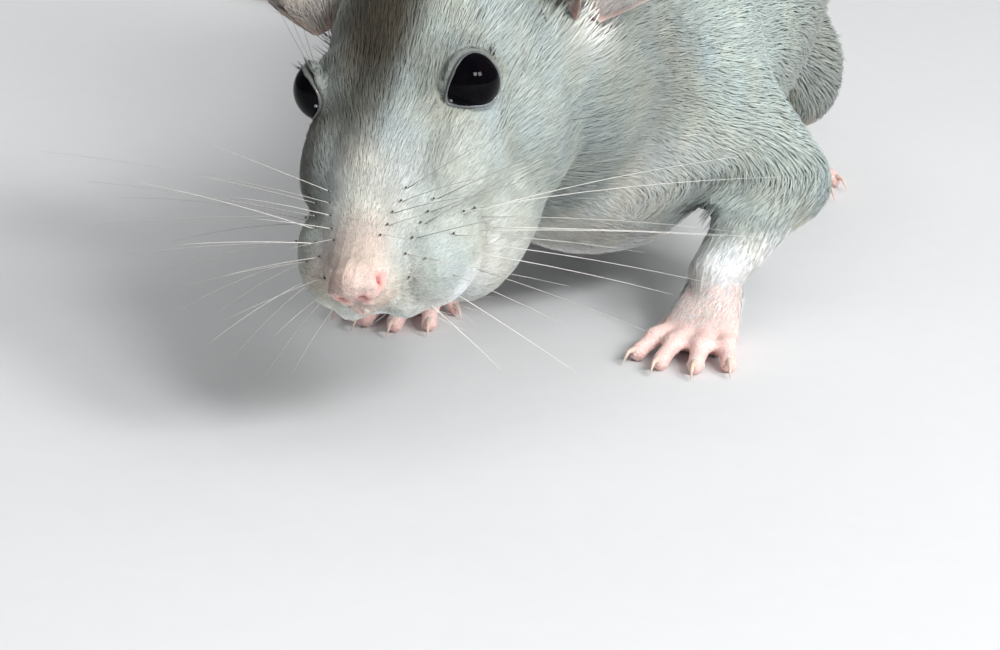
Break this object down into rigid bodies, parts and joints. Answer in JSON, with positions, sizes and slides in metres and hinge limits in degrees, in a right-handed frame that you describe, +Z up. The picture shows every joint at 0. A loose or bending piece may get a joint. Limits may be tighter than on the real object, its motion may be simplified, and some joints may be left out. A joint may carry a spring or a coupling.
{
  "type": "pet rat",
  "caption": "Life-size pet rat, grey coat with a darker brow and pale muzzle, standing on all fours with its head low and its long bare tail laid on the floor in a curve.",
  "frame": {"origin": "middle of the bounding box's bottom face, at the floor", "axes": "+Z is up, the rat faces -Y and its left side is towards +X; its spine bows to its right, and its tail runs on towards +Y"},
  "size_m": [0.1952, 0.2948, 0.0658],
  "materials": {
    "coat": "short dense fur, blue-grey, darker on the brow and pale on the muzzle and wrists",
    "bare_skin": "bare pink skin of the nose and paws, slightly moist",
    "eye": "wet glossy black",
    "ear_skin": "thin pink-brown skin with a fine down",
    "tail_skin": "ringed scaly grey-pink skin with sparse hairs"
  },
  "bodies": {
    "root": {"head": "coat", "nose": "bare_skin", "lower_jaw": "coat", "eye_left": "eye", "eye_right": "eye", "ear_left": "ear_skin", "ear_right": "ear_skin", "neck": "coat", "torso": "coat", "foreleg_left": "coat", "foreleg_right": "coat", "forepaw_left": "bare_skin", "forepaw_right": "bare_skin", "hindleg_left": "coat", "hindleg_right": "coat", "hindfoot_left": "bare_skin", "hindfoot_right": "bare_skin", "tail_1": "tail_skin", "tail_2": "tail_skin", "tail_3": "tail_skin", "tail_4": "tail_skin", "tail_5": "tail_skin"}
  },
  "joints": []
}
